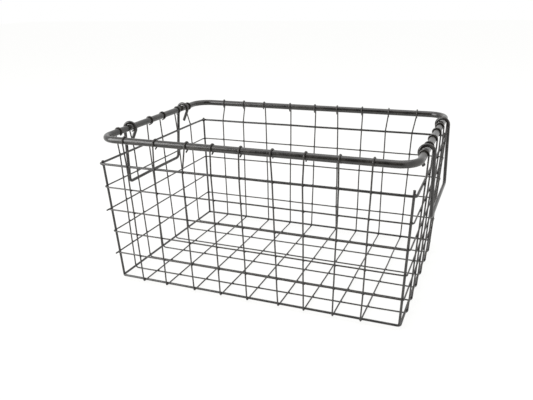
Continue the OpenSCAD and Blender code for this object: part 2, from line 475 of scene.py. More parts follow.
@dataclass
class Tube:
    """One tube of round wire along a route.

    A ring of vertices stands at each point of the route: point plus radius times (cos a times n plus
    sin a times b), where b is the reference direction made square to the route and n is square to both.

    Attributes:
        name: the node that the tube stands for.
        path: points of the route, n by 3.
        radius: of the wire.
        reference: a direction across the route, for all of it or for each point.
        closed: whether the last ring joins the first.
        sides: how many vertices a ring has.
        chamfer: width of the dulled edge round a cut end.
        cut_slope: rise of a cut end over the wire's radius, as shears leave it.
    """

    name: str
    path: np.ndarray
    radius: float
    reference: np.ndarray
    closed: bool = False
    sides: int = 14
    chamfer: float = 0.15
    cut_slope: float = 0.25

    def frames(self) -> tuple[np.ndarray, np.ndarray, np.ndarray]:
        """Works out the directions at each point of the route.

        Returns:
            The unit vectors along the route, n across it and b across it, each n by 3.
        """
        if self.closed:
            ahead = np.roll(self.path, -1, axis=0) - np.roll(self.path, 1, axis=0)
        else:
            ahead = np.gradient(self.path, axis=0)
        t = unit(ahead)
        across = np.broadcast_to(self.reference, t.shape)
        b = unit(across - (across * t).sum(1, keepdims=True) * t)
        return t, np.cross(b, t), b

    def rings(self) -> np.ndarray:
        """Works out the vertices of the side and the dulled edges of the cut ends.

        An end ring is moved along the route by slope times radius times cos a. Its edge ring is that ring
        drawn in by the chamfer and moved outward along the route by the chamfer.

        Returns:
            The vertices, rings by sides by 3.
        """
        t, n, b = self.frames()
        a = 2 * math.pi * np.arange(self.sides) / self.sides
        around = np.cos(a)[None, :, None] * n[:, None] + np.sin(a)[None, :, None] * b[:, None]
        side = self.path[:, None] + self.radius * around
        if self.closed:
            return side
        slant = self.cut_slope * self.radius * np.cos(a)[None, :, None]
        edges = []
        for end, sign in ((0, -1.0), (-1, 1.0)):
            side[end] += t[end] * slant[0]
            inner = side[end] + (self.path[end] - side[end]) * (self.chamfer / self.radius)
            edges.append(inner + sign * t[end] * self.chamfer)
        return np.concatenate([edges[0][None], side, edges[1][None]])

    def side_faces(self, rows: int) -> np.ndarray:
        """Lists the quads between neighbouring rings, facing outward.

        Args:
            rows: how many rings the tube has.
        Returns:
            The vertex numbers of each quad, n by 4.
        """
        here = np.arange(rows if self.closed else rows - 1)[:, None]
        j = np.arange(self.sides)[None]
        ahead, beside = (here + 1) % rows, (j + 1) % self.sides
        corners = ((here, j), (here, beside), (ahead, beside), (ahead, j))
        numbers = np.broadcast_arrays(*(row * self.sides + column for row, column in corners))
        return np.stack(numbers, axis=-1).reshape(-1, 4)

    def end_faces(self, rows: int) -> np.ndarray:
        """Lists the fans that close the two ends, each round a middle vertex that follows the rings.

        Args:
            rows: how many rings the tube has.
        Returns:
            The vertex numbers of each triangle, n by 3.
        """
        middle, base = rows * self.sides, (rows - 1) * self.sides
        j = np.arange(self.sides)
        beside = (j + 1) % self.sides
        near = np.stack([np.full(self.sides, middle), beside, j], axis=-1)
        far = np.stack([np.full(self.sides, middle + 1), base + j, base + beside], axis=-1)
        return np.concatenate([near, far])

    def side_uv(self, rings: np.ndarray) -> np.ndarray:
        """Unrolls the side: u is the distance along the wire and v the distance around it.

        Args:
            rings: the vertices, rings by sides by 3.
        Returns:
            Both in millimetres, one row for each corner of each quad.
        """
        middles = rings.mean(1)
        steps = np.linalg.norm(np.diff(middles, axis=0, append=middles[:1]), axis=1)
        along = np.concatenate([[0.0], np.cumsum(steps)])
        around = 2 * math.pi * self.radius * np.arange(self.sides + 1) / self.sides
        spans = len(rings) if self.closed else len(rings) - 1
        here, ahead = along[:spans], along[1 : spans + 1]
        u = np.stack([here, here, ahead, ahead], axis=-1)[:, None]
        v = np.stack([around[:-1], around[1:], around[1:], around[:-1]], axis=-1)[None]
        return np.stack(np.broadcast_arrays(u, v), axis=-1).reshape(-1, 2)

    def build(self) -> bpy.types.Object:
        """Makes the mesh object, with faces outward, smooth sides and the unrolled side as UV map.

        Returns:
            The tube's object, with its place in its mesh.
        """
        rings = self.rings()
        vertices = rings.reshape(-1, 3)
        faces = self.side_faces(len(rings)).tolist()
        uv = self.side_uv(rings)
        if not self.closed:
            fans = self.end_faces(len(rings))
            vertices = np.concatenate([vertices, rings[:1].mean(1), rings[-1:].mean(1)])
            faces += fans.tolist()
            uv = np.concatenate([uv, np.zeros((fans.size, 2))])
        mesh = smooth_mesh(self.name, vertices, faces)
        mesh.uv_layers.new(name="wire").data.foreach_set("uv", uv.astype(np.float32).ravel())
        mesh.set_sharp_from_angle(angle=SHARP_EDGE)
        mesh.update()
        return add_object(self.name, mesh)


@dataclass
class RingSize:
    """Size of a horizontal ring of wire, in millimetres.

    Attributes:
        mid: x of its middle.
        half_l: half its length between wire centres.
        half_w: half its width between wire centres.
        z: height of its wire's centre.
        d: diameter of its wire.
    """

    mid: float
    half_l: float
    half_w: float
    z: float
    d: float

    @classmethod
    def of(cls, node: str) -> "RingSize":
        """Reads a ring's size from the box of its solid, whose height is the wire's diameter.

        The width comes from the back alone, because the cut stubs stick out at the front.

        Args:
            node: the ring's node.
        Returns:
            The size.
        """
        low, high = (np.array(corner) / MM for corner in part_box(node))
        d = high[2] - low[2]
        middle = (high + low) / 2
        return cls(middle[0], (high[0] - low[0] - d) / 2, high[1] - d / 2, middle[2], d)

    def corner(self, x: float, y: float) -> np.ndarray:
        """Point of the ring at the given shares of its half length and half width."""
        return np.array([self.mid + x * self.half_l, y * self.half_w, self.z])


@dataclass
class Levels:
    """The rings that every other wire is measured from, and how far welded wires sink into each other."""

    rim: RingSize = field(default_factory=lambda: RingSize.of("rim"))
    top: RingSize = field(default_factory=lambda: RingSize.of("top_ring"))
    floor: RingSize = field(default_factory=lambda: RingSize.of("bottom_frame"))
    sides: list[RingSize] = field(
        default_factory=lambda: [RingSize.of(f"side_ring_{i}") for i in (1, 2, 3, 4)]
    )
    bite: float = 0.1

    @property
    def mesh_d(self) -> float:
        """Diameter of the mesh wire."""
        return self.sides[0].d

    @property
    def step(self) -> float:
        """Distance between the centre lines of a mesh wire and the frame wire that it is welded to."""
        return (self.top.d + self.mesh_d) / 2 - self.bite

    def share(self, z: float) -> float:
        """Height as a share of the way from the bottom frame to the top ring."""
        return (z - self.floor.z) / (self.top.z - self.floor.z)


@dataclass
class Rings:
    """Rim, top ring, side rings and bottom frame.

    Attributes:
        levels: the rings' sizes.
        corner_r: bend radius of the frame wires' corners.
        rim_corner_r: bend radius of the rim's corners.
        stub: how far a cut stub runs past the front left corner.
        wave: height of the waves of the thin rings and the top ring.
        step: the largest distance between two points of a straight stretch.
        rim_sides: how many sides the thick rim rod has.
        top_seed: seed of the top ring's waves.
        side_seed: seed of the side rings' waves, to which each adds its number.
    """

    levels: Levels
    corner_r: float = 3.5
    rim_corner_r: float = 22.0
    stub: float = 4.0
    wave: float = 0.22
    step: float = 5.0
    rim_sides: int = 40
    top_seed: int = 11
    side_seed: int = 20

    def side_corner_r(self, z: float) -> float:
        """Radius at which a side ring's bend clasps its post, as in the solid.

        A bend of radius r cuts its corner by r times (1 minus 1 over root 2) along each axis. Its middle
        stands outside the post's centre line by the weld's distance, so it cuts the corner by the post's
        inset plus what the side ring is wider, less that distance over root 2.

        Args:
            z: the ring's height.
        Returns:
            The bend radius of its corners.
        """
        diagonal = 1 - 1 / math.sqrt(2)
        head = self.corner_r - (self.corner_r - self.levels.top.d + self.levels.bite) / math.sqrt(2)
        foot = self.corner_r * diagonal
        inset = foot + (head - foot) * self.levels.share(z)
        grow = self.levels.step - self.levels.mesh_d + self.levels.bite
        return (inset + grow - self.levels.step / math.sqrt(2)) / diagonal

    def waved(self, path: np.ndarray, wave: float, seed: int) -> np.ndarray:
        """Waves a ring up and down: ripple times the root of sin(pi times the share of its length).

        Args:
            path: points of the ring.
            wave: height of the waves.
            seed: number that the waves are drawn from.
        Returns:
            The waved points.
        """
        length = run_length(path)
        fade = np.sin(math.pi * length / length[-1]) ** 0.5
        return path + UP * (ripple(length, wave, seed) * fade)[:, None]

    def closed_ring(self, name: str, size: RingSize, r: float, wave: float = 0.0, seed: int = 0) -> Tube:
        """A closed ring, whose route starts in the middle of its right side.

        Args:
            name: its node.
            size: its size.
            r: bend radius of its corners.
            wave: height of its waves.
            seed: number that the waves are drawn from.
        Returns:
            The tube.
        """
        turns = [(1, 0), (1, 1), (-1, 1), (-1, -1), (1, -1), (1, 0)]
        path = bent([size.corner(x, y) for x, y in turns], [0, r, r, r, r, 0], self.step)[:-1]
        return Tube(name, self.waved(path, wave, seed), size.d / 2, UP, closed=True)

    def open_ring(self, name: str, size: RingSize, r: float, wave: float, seed: int) -> Tube:
        """A ring whose left wire runs on past the front left corner as a cut stub.

        Args:
            name: its node.
            size: its size.
            r: bend radius of its corners.
            wave: height of its waves.
            seed: number that the waves are drawn from.
        Returns:
            The tube.
        """
        points = [size.corner(x, y) for x, y in ((-1, -1), (1, -1), (1, 1), (-1, 1))]
        end = points[0] - WIDTHWAYS * self.stub
        path = bent([*points, end], [0, r, r, r, 0], self.step)
        return Tube(name, self.waved(path, wave, seed), size.d / 2, UP)

    def tubes(self) -> dict[str, Tube]:
        """Lays out all seven rings. Every second side ring is an open one.

        Returns:
            The tubes by node.
        """
        levels = self.levels
        made = {
            "rim": self.closed_ring("rim", levels.rim, self.rim_corner_r),
            "top_ring": self.closed_ring("top_ring", levels.top, self.corner_r, self.wave, self.top_seed),
            "bottom_frame": self.closed_ring("bottom_frame", levels.floor, self.corner_r),
        }
        made["rim"].sides = self.rim_sides
        for number, size in enumerate(levels.sides, 1):
            name = f"side_ring_{number}"
            ring = self.closed_ring if number % 2 else self.open_ring
            made[name] = ring(name, size, self.side_corner_r(size.z), self.wave, self.side_seed + number)
        return made


@dataclass
class Posts:
    """The four corner posts, from the middles of their solids' ends.

    Attributes:
        nodes: the posts' nodes.
        step: the largest distance between two points of a post.
        cut_slope: slope of its cut ends.
    """

    nodes: tuple[str, ...] = ("post_front_left", "post_front_right", "post_back_left", "post_back_right")
    step: float = 6.0
    cut_slope: float = 0.1

    def tubes(self, d: float) -> dict[str, Tube]:
        """Lays out the posts, each leaning outward from its foot to its head.

        Args:
            d: diameter of their wire.
        Returns:
            The tubes by node.
        """
        made = {}
        for name in self.nodes:
            low, high = (np.array(corner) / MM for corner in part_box(name))
            sx, sy = (math.copysign(1, low[k] + high[k]) for k in (0, 1))
            outer = np.where([sx > 0, sy > 0], high[:2], low[:2]) - np.array([sx, sy]) * d / 2
            inner = np.where([sx > 0, sy > 0], low[:2], high[:2]) + np.array([sx, sy]) * d / 2
            foot, head = np.array([*inner, low[2]]), np.array([*outer, high[2]])
            path = np.concatenate([straight(foot, head, self.step), head[None]])
            made[name] = Tube(name, path, d / 2, LENGTHWAYS, cut_slope=self.cut_slope)
        return made


@dataclass
class Family:
    """Mesh wires that run the same way, with the hand-bent drift of each, in millimetres.

    The three drift fields hold a list for the near end and a list for the far end, one number a wire.

    Attributes:
        stem: what their nodes' names begin with.
        out: direction in which they run.
        along: direction in which they stand side by side.
        seed: seed of their waves, to which each wire adds its number.
        shift: how far the whole family sits along.
        floor_z: height of their centre lines on the floor.
        bend_r: radius of the bends between floor and walls.
        mids: middle of their route at the floor, top ring and rim.
        halves: half length of their route at the floor, top ring and rim.
        floors: drift along at the floor.
        walls: drift along at the top ring.
        rims: drift along at the rim.
    """

    stem: str
    out: np.ndarray
    along: np.ndarray
    seed: int
    shift: float
    floor_z: float
    bend_r: float
    mids: Triple
    halves: Triple
    floors: tuple[list[float], list[float]]
    walls: tuple[list[float], list[float]]
    rims: tuple[list[float], list[float]]


@dataclass
class MeshWires:
    """The bent mesh wires: hook, wall, floor, wall, hook.

    The three hook fields hold a tuple for the near end and one for the far end, one number a wire, and
    both families take them in order.

    Attributes:
        levels: the rings that the wires are bent to.
        pitch: distance between two wires of a family.
        knee_r: bend radius where a wire leaves the top ring for the rim.
        wave: height of the waves in the wires.
        still: length at each end of a wire's run over which the waves die out.
        step: the largest distance between two points of a straight stretch.
        tail_step: the same along a hook's tail.
        cut_slope: slope of the cut ends.
        hook_turn: how far each hook goes round the rim, in degrees.
        hook_tail: length of each hook's straight tail.
        hook_slant: how far each hook stands askew on the rim, in degrees.
    """

    levels: Levels
    pitch: float = 35.0
    knee_r: float = 9.0
    wave: float = 0.3
    still: float = 40.0
    step: float = 5.0
    tail_step: float = 1.5
    cut_slope: float = 0.4
    hook_turn: tuple[tuple[float, ...], ...] = (
        (234, 236, 240, 238, 240, 238, 236, 232, 230),
        (211, 225, 206, 216, 220, 214, 222, 208, 218),
    )
    hook_tail: tuple[tuple[float, ...], ...] = (
        (1, 4, 4.5, 4, 4, 1.5, 2, 1, 1),
        (4.5, 5, 3, 4.5, 4, 5, 4, 5, 3.5),
    )
    hook_slant: tuple[tuple[float, ...], ...] = (
        (3, 5, 2, 3, 1, 4, 3, 2, 3),
        (8, 3, 5, 6, 3, 6, 2, 7, 4),
    )

    @property
    def hook_r(self) -> float:
        """Centre radius of the hooks: they grip the rim rod."""
        return (self.levels.rim.d + self.levels.mesh_d) / 2

    def families(self) -> list[Family]:
        """Works out both families from the rings, whose slopes go on down to the floor wires.

        Returns:
            The nine cross wires and the six long wires.
        """
        levels = self.levels
        long_z = levels.mesh_d / 2
        cross_z = long_z + levels.mesh_d - levels.bite
        floor, top, rim = levels.floor, levels.top, levels.rim
        wide_lean = (top.half_w - floor.half_w) / (top.z - floor.z)
        long_lean = (top.half_l - floor.half_l) / (top.z - floor.z)
        mid_lean = (top.mid - floor.mid) / (top.z - floor.z)
        below = floor.z - long_z
        cross_floor = [-2, -4, 0, 1, 1, 5, 1, 0, -3]
        cross = Family(
            stem="cross_wire_",
            out=WIDTHWAYS,
            along=LENGTHWAYS,
            seed=100,
            shift=-3.5,
            floor_z=cross_z,
            bend_r=2.0,
            mids=(0.0, 0.0, 0.0),
            halves=(floor.half_w - wide_lean * (floor.z - cross_z), top.half_w, rim.half_w),
            floors=(cross_floor, cross_floor),
            walls=([-2, 0, 2, 3, 2, 5, 4, 7, 5], [-8, -8, -5, 0, 3, 2, 2, 1, 3]),
            rims=([-7, -0.5, 5, 2, 1, 2.5, 4.5, 6, 5.5], [0, -2, -4, 2, 5, 3, 4, 6, 9]),
        )
        long = Family(
            stem="long_wire_",
            out=LENGTHWAYS,
            along=WIDTHWAYS,
            seed=200,
            shift=0.0,
            floor_z=long_z,
            bend_r=4.5,
            mids=(floor.mid - mid_lean * below, top.mid, rim.mid),
            halves=(floor.half_l - long_lean * below, top.half_l, rim.half_l),
            floors=([-2, -2, -3, -3, 1, -1], [3, -2, -3, -3, 1, -1]),
            walls=([1, -3, -3, -4, 2, 6], [0, 0, 0, 0, 0, 0]),
            rims=([2, -4, 2, -1, 4, 0], [6, 7, 4, 4, -2, 0]),
        )
        return [cross, long]

    def half(self, family: Family, middle: float, k: int, far: int) -> tuple[list[np.ndarray], np.ndarray]:
        """Lays out one end of a mesh wire.

        Each corner lies at out times its reach plus along times its drift plus up times its height.

        Args:
            family: the wire's family.
            middle: where the wire would lie along, without its drift.
            k: the wire's number, from 0.
            far: 0 for the near end, 1 for the far end.
        Returns:
            The corners from the hook's foot to the floor bend, and the points of the hook.
        """
        levels, sign = self.levels, 2 * far - 1
        slant = math.radians(self.hook_slant[far][k])
        drift = [middle + lists[far][k] for lists in (family.floors, family.walls, family.rims)]
        drift[2] -= self.hook_r * math.sin(slant)
        grow = (levels.step, levels.step, self.hook_r * math.cos(slant))
        reach = [mid + sign * (half + more) for mid, half, more in zip(family.mids, family.halves, grow)]
        heights = (family.floor_z, levels.top.z, levels.rim.z)
        places = zip(reach, drift, heights)
        toe, knee, foot = (family.out * x + family.along * y + UP * z for x, y, z in places)
        start = family.out * sign * math.cos(slant) - family.along * math.sin(slant)
        turn, tail = math.radians(self.hook_turn[far][k]), self.hook_tail[far][k]
        return [foot, knee, toe], curl(foot, start, self.hook_r, turn, tail, self.tail_step)

    def tube(self, family: Family, number: int, count: int) -> Tube:
        """Lays out one mesh wire.

        Args:
            family: the wire's family.
            number: the wire's number, from 1.
            count: how many wires the family has.
        Returns:
            The tube, from the near hook's tail to the far hook's.
        """
        middle = family.shift + (number - (count + 1) / 2) * self.pitch
        (near, near_hook), (far, far_hook) = (self.half(family, middle, number - 1, end) for end in (0, 1))
        radii = [0, self.knee_r, family.bend_r, family.bend_r, self.knee_r, 0]
        run = bent([*near, *reversed(far)], radii, self.step)
        length = run_length(run)
        fade = np.clip(np.minimum(length, length[-1] - length) / self.still, 0, 1)
        run += family.along * (ripple(length, self.wave, family.seed + number) * fade)[:, None]
        path = np.concatenate([near_hook[::-1], run, far_hook])
        radius = self.levels.mesh_d / 2
        return Tube(f"{family.stem}{number}", path, radius, family.along, cut_slope=self.cut_slope)

    def tubes(self) -> dict[str, Tube]:
        """Lays out all mesh wires.

        Returns:
            The tubes by node.
        """
        made = {}
        for family in self.families():
            count = len(family.floors[0])
            for number in range(1, count + 1):
                tube = self.tube(family, number, count)
                made[tube.name] = tube
        return made


@dataclass
class Handle:
    """A bail handle: a wire loop with two open eyes round the end of the rim.

    Attributes:
        levels: the rings, of which the rim carries the handle.
        node: its node.
        body: the body that it rides on.
        side: -1 for the left end and 1 for the right end.
        lean: how far it hangs out from upright, in degrees.
        shift: how far it sits back along the rim.
        eye_out: how far the eyes' middles lie outward of the rim's centre line.
        slants: how far the near and the far eye stand askew on the rim, in degrees.
        tails: length of the near and the far eye's straight tail.
        wire_d: diameter of its wire.
        eye_y: half the distance between the eyes.
        bar_y: half the length of the bar between its corners.
        drop: how far the bar hangs below the rim.
        corner_r: bend radius of its corners.
        play: gap between the rim rod and an eye that would sit in its middle.
        eye_down: how far the eyes' middles lie below the rim's centre line.
        turn: how far an eye goes round the rim, in degrees.
        bow: how far the bar bows up in its middle.
        bar_band: height of the band that counts as the bar.
        twist_share: share of the drop by which the reference direction has turned.
        step: the largest distance between two points of a straight stretch.
        tail_step: the same along an eye's tail.
        sides: how many sides the wire has.
        chamfer: width of the dulled edge round its cut ends.
    """

    levels: Levels
    node: str
    body: str
    side: int
    lean: float
    shift: float
    eye_out: float
    slants: Pair
    tails: Pair
    wire_d: float = 4.0
    eye_y: float = 67.5
    bar_y: float = 63.0
    drop: float = 75.0
    corner_r: float = 6.0
    play: float = 1.6
    eye_down: float = 0.8
    turn: float = 202.0
    bow: float = 0.5
    bar_band: float = 1.0
    twist_share: float = 0.6
    step: float = 3.0
    tail_step: float = 2.0
    sides: int = 24
    chamfer: float = 0.3

    def tube(self) -> Tube:
        """Lays out the wire, from one cut tail to the other.

        The reference direction lies along the rim at the eyes and square to the loop along the bar, and
        turns from the one to the other down the legs. The bar bows up by the bow times 1 minus the square
        of y over bar_y.

        Returns:
            The tube.
        """
        r = (self.levels.rim.d + self.wire_d) / 2 + self.play
        turn = math.radians(self.turn)
        eyes, feet, corners = [], [], []
        for end, degrees, tail in zip((-1, 1), self.slants, self.tails):
            slant = math.radians(degrees)
            start = LENGTHWAYS * self.side * math.cos(slant) - WIDTHWAYS * end * math.sin(slant)
            x = self.side * (self.eye_out + r * math.cos(slant))
            foot = np.array([x, end * self.eye_y, -self.eye_down])
            eyes.append(curl(foot, start, r, turn, tail, self.tail_step))
            feet.append(foot)
            corners.append(np.array([x, end * self.bar_y, -self.drop]))
        radii = [0, self.corner_r, self.corner_r, 0]
        loop = bent([feet[0], *corners, feet[1]], radii, self.step)
        on_bar = loop[:, 2] < -self.drop + self.bar_band
        loop[:, 2] += self.bow * (np.clip(1 - (loop[:, 1] / self.bar_y) ** 2, 0, 1) * on_bar)
        angle = np.clip(-loop[:, 2] / (self.twist_share * self.drop), 0, 1) * math.pi / 2
        swing = np.stack([np.sin(angle), np.cos(angle), 0 * angle], axis=1)
        swing[loop[:, 1] > 0, 1] *= -1
        near, far = (np.tile(way * WIDTHWAYS, (len(eye), 1)) for way, eye in zip((1, -1), eyes))
        reference = np.concatenate([near, swing, far])
        path = np.concatenate([eyes[0][::-1], loop, eyes[1]])
        turned = np.array(Matrix.Rotation(-math.radians(self.lean) * self.side, 3, "Y"))
        path = path @ turned.T + (self.levels.rim.corner(self.side, 0) + WIDTHWAYS * self.shift)
        across = reference @ turned.T
        return Tube(self.node, path, self.wire_d / 2, across, sides=self.sides, chamfer=self.chamfer)


def crossings(
    a: np.ndarray, b: np.ndarray, reach: float, steep: float = 0.05, apart: float = 4.0
) -> np.ndarray:
    """Places where two routes pass within reach of each other.

    For each pair of segments p + s u and q + t v, s and t of the nearest points come from the two
    equations that make the joining line square to both. A pair counts where both lie inside.

    Args:
        a: points of the first route, in millimetres.
        b: points of the second route.
        reach: the largest distance that counts.
        steep: least squared sine of the angle between two segments that cross.
        apart: least distance between two places that count as two.
    Returns:
        For each place: the nearest point on a, the nearest on b, and the two directions, n by 4 by 3.
    """
    p, u = a[:-1, None], np.diff(a, axis=0)[:, None]
    q, v = b[None, :-1], np.diff(b, axis=0)[None]
    w = p - q
    uu, uv, vv = (u * u).sum(-1), (u * v).sum(-1), (v * v).sum(-1)
    uw, vw = (u * w).sum(-1), (v * w).sum(-1)
    smallest = 1e-9
    scale = np.maximum(uu * vv - uv * uv, smallest)
    s, t = (uv * vw - vv * uw) / scale, (uu * vw - uv * uw) / scale
    near_a, near_b = p + s[..., None] * u, q + t[..., None] * v
    gap = np.linalg.norm(near_a - near_b, axis=-1)
    inside = (s >= 0) & (s < 1) & (t >= 0) & (t < 1)
    hit = inside & (gap < reach) & (scale > steep * uu * vv)
    rows, columns = np.nonzero(hit)
    run_a, run_b = unit(np.diff(a, axis=0))[rows], unit(np.diff(b, axis=0))[columns]
    kept: list[np.ndarray] = []
    for place in np.stack([near_a[hit], near_b[hit], run_a, run_b], axis=1):
        if all(np.linalg.norm(place[0] - other[0]) > apart for other in kept):
            kept.append(place)
    return np.array(kept).reshape(-1, 4, 3)


@dataclass
class Welds:
    """Nuggets of squeezed-out metal at the crossings of welded wires.

    Attributes:
        spread: half the width of a nugget between mesh wires.
        thickness: half its thickness.
        thin_r: radius of the mesh wire that these two are given for.
        least: size of the smallest nugget, as a share.
        most: size of the largest nugget, as a share.
        seed: number that the sizes are drawn from.
        bites: how many sinkings further than touching two wires may pass and still be welded.
        rows: how many bands a nugget has from pole to pole.
        columns: how many faces a band has.
    """

    spread: float = 1.75
    thickness: float = 0.62
    thin_r: float = 0.9
    least: float = 0.85
    most: float = 1.15
    seed: int = 7
    bites: float = 3.0
    rows: int = 7
    columns: int = 12

    def places(self, tubes: dict[str, Tube], bite: float) -> np.ndarray:
        """Finds every welded crossing among the basket's tubes.

        Args:
            tubes: the tubes by node.
            bite: how far welded wires sink into each other.
        Returns:
            For each crossing: the point between the wires, the direction of each wire, and three times
            the radius of the thinner one, n by 4 by 3.
        """
        def chosen(*stems: str) -> list[Tube]:
            """Tubes whose node begins with one of the stems."""
            return [tube for name, tube in tubes.items() if name.startswith(stems)]

        rings = chosen("top_ring", "side_ring", "bottom_frame")
        pairs = [
            *product(chosen("cross_wire", "long_wire"), rings),
            *product(chosen("post"), rings),
            *product(chosen("cross_wire"), chosen("long_wire")),
        ]
        spots = []
        for first, second in pairs:
            loop = np.concatenate([second.path, second.path[:1]]) if second.closed else second.path
            reach = first.radius + second.radius + bite * self.bites
            share = first.radius / (first.radius + second.radius)
            thinner = np.full(3, min(first.radius, second.radius))
            for on_first, on_second, run_first, run_second in crossings(first.path, loop, reach):
                spot = on_first + (on_second - on_first) * share
                spots.append(np.stack([spot, run_first, run_second, thinner]))
        return np.array(spots)

    def ball(self) -> tuple[np.ndarray, np.ndarray, np.ndarray]:
        """A ball of radius 1: sin t cos a, sin t sin a and cos t on a grid of t and a, and its poles.

        Returns:
            The vertices, n by 3, the quads of its bands, and the triangles round its poles.
        """
        t = math.pi * np.arange(1, self.rows) / self.rows
        a = 2 * math.pi * np.arange(self.columns) / self.columns
        x, y = np.sin(t)[:, None] * np.cos(a), np.sin(t)[:, None] * np.sin(a)
        grid = np.stack(np.broadcast_arrays(x, y, np.cos(t)[:, None]), axis=-1).reshape(-1, 3)
        m, base = self.columns, (self.rows - 2) * self.columns
        here, j = m * np.arange(self.rows - 2)[:, None], np.arange(m)
        ahead, beside = here + m, (j + 1) % m
        corners = np.broadcast_arrays(here + j, ahead + j, ahead + beside, here + beside)
        quads = np.stack(corners, axis=-1).reshape(-1, 4)
        top = np.stack([np.full(m, len(grid)), j, beside], axis=-1)
        bottom = np.stack([np.full(m, len(grid) + 1), base + beside, base + j], axis=-1)
        return np.concatenate([grid, [[0, 0, 1.0], [0, 0, -1.0]]]), quads, np.concatenate([top, bottom])

    def build(self, spots: np.ndarray, name: str) -> bpy.types.Object:
        """Makes all nuggets as one mesh.

        Each is a flattened ball between its two wires: spot plus spread times the first direction times
        sin t cos a, plus the same across it times sin t sin a, plus the thickness times the normal times
        cos t.

        Args:
            spots: the crossings, as places gives them.
            name: the object's name.
        Returns:
            The nuggets' object, with their places in its mesh.
        """
        first = spots[:, 1]
        normal = unit(np.cross(first, spots[:, 2]))
        across = np.cross(normal, first)
        uneven = np.random.default_rng(self.seed).uniform(self.least, self.most, (len(spots), 3))
        size = spots[:, 3, :1] / self.thin_r * uneven
        axes = np.stack(
            [
                first * self.spread * size[:, :1],
                across * self.spread * size[:, 1:2],
                normal * self.thickness * size[:, 2:],
            ],
            axis=1,
        )
        ball, quads, triangles = self.ball()
        vertices = spots[:, None, 0] + np.einsum("vk,nkc->nvc", ball, axes)
        shift = len(ball) * np.arange(len(spots))[:, None, None]
        faces = (shift + quads).reshape(-1, 4).tolist() + (shift + triangles).reshape(-1, 3).tolist()
        mesh = smooth_mesh(name, vertices.reshape(-1, 3), faces)
        mesh.update()
        return add_object(name, mesh)


@dataclass(frozen=True)
class Softbox:
    """A soft rectangular lamp: its name, its place and size in metres, and its watts."""

    name: str
    place: Triple
    size: Pair
    watts: float

    def build(self, aim: Triple) -> None:
        """Makes the lamp.

        Args:
            aim: the point that it faces.
        """
        data = bpy.data.lights.new(self.name, "AREA")
        data.shape = "RECTANGLE"
        data.size, data.size_y = self.size
        data.energy = self.watts
        lamp = add_object(self.name, data)
        lamp.location = self.place
        lamp.rotation_euler = (Vector(aim) - Vector(self.place)).to_track_quat("-Z", "Y").to_euler()


